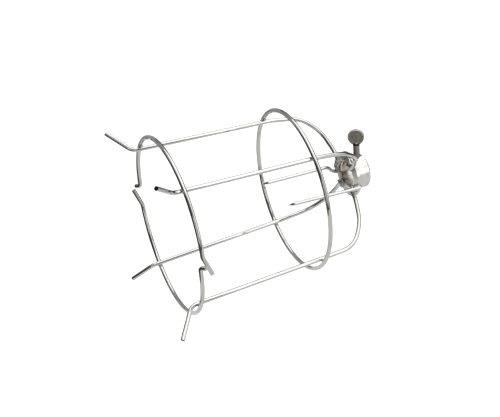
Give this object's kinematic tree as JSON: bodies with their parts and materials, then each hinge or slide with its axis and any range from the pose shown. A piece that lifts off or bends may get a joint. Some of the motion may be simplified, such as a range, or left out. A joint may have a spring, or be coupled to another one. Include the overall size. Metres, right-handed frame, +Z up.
{
  "type": "rotisserie spit cage",
  "caption": "Open round wire cage with flared wire tips, a latched split front ring, inner prongs and a bored hub clamped to a spit rod by a disc-head thumbscrew.",
  "frame": {"origin": "on the spit bore's axis, where the clamp screw's axis meets it", "axes": "+X along the spit bore, from the open mouth of the cage to the hub's outer end; +Z up; the split of the front ring lies left and right, at +Y and -Y"},
  "size_m": [0.2227, 0.1682, 0.164],
  "materials": {
    "wire_chrome": "bright chrome plate on round drawn wire",
    "prong_chrome": "bright chrome plate, darker at the drawn points",
    "hub_steel": "turned steel, satin to bright plate",
    "weld_bead": "rough grey weld metal under thin plate",
    "screw_nickel": "dull brownish nickel, mottled"
  },
  "bodies": {
    "cage": {"cage_wire_far_top": "wire_chrome", "cage_wire_near_top": "wire_chrome", "cage_wire_far_bottom": "wire_chrome", "cage_wire_near_bottom": "wire_chrome", "rear_ring": "wire_chrome", "front_half_ring_top": "wire_chrome", "front_half_ring_bottom": "wire_chrome", "prong_far": "prong_chrome", "prong_near": "prong_chrome", "hub_flange": "hub_steel", "hub_collar": "hub_steel", "front_ring_welds_top": "weld_bead", "front_ring_welds_bottom": "weld_bead", "rear_ring_welds": "weld_bead", "hub_weld_top": "weld_bead", "hub_weld_far_bottom": "weld_bead", "hub_weld_near_bottom": "weld_bead", "hub_weld_near_prong": "weld_bead"},
    "screw_shank": {"clamp_screw_shank": "screw_nickel"},
    "screw_head": {"clamp_screw_head": "screw_nickel"}
  },
  "joints": [
    {"name": "screw_travel", "type": "slide", "parent": "cage", "child": "screw_shank", "axis": [0, 0.0872, -0.9962], "range_m": [0, 0.00825]},
    {"name": "screw_turn", "type": "hinge", "parent": "screw_shank", "child": "screw_head", "pos_m": [0, 0, 0], "axis": [0, 0.0872, -0.9962], "range_deg": [0, 2970]}
  ],
  "couplings": [
    {"joint": "screw_turn", "follows": "screw_travel", "rad_per_m": 6283.1}
  ]
}
